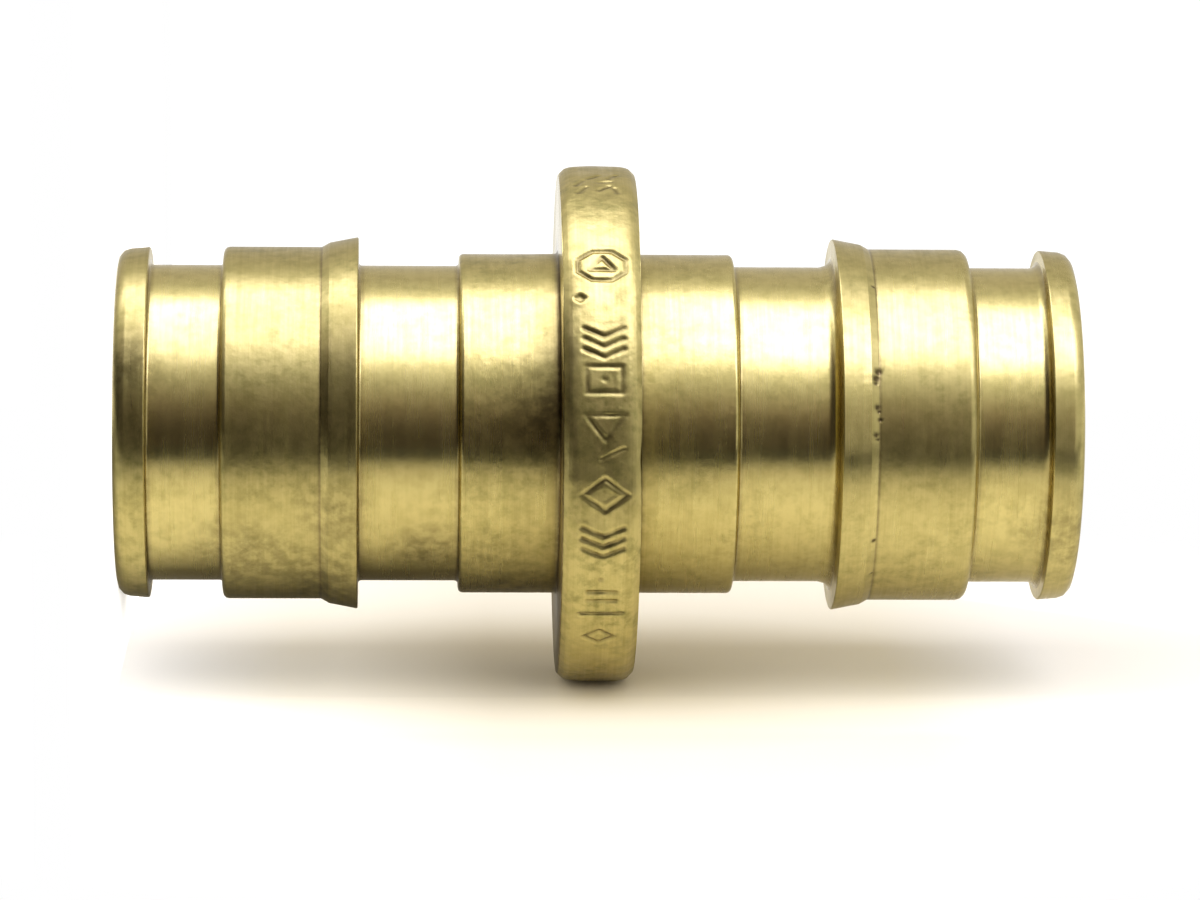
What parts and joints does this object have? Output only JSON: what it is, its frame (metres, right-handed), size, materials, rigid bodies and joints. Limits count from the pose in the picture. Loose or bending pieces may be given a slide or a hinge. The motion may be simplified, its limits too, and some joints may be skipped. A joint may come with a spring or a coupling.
{
  "type": "pex coupling",
  "caption": "Straight barbed brass coupling for plastic water pipe: a stop collar at mid length, a grooved and barbed spigot on each side and a through bore.",
  "frame": {"origin": "centre of the lower end face, on the axis of the waterway", "axes": "+Z along the waterway, from the lower end to the upper end; the part is round about +Z and the same above and below its middle"},
  "size_m": [0.0204, 0.0204, 0.0376],
  "materials": {
    "brass": "satin, turned, with fine marks round the axis and light olive tarnish"
  },
  "bodies": {
    "root": {"coupling_body": "brass"}
  },
  "joints": []
}
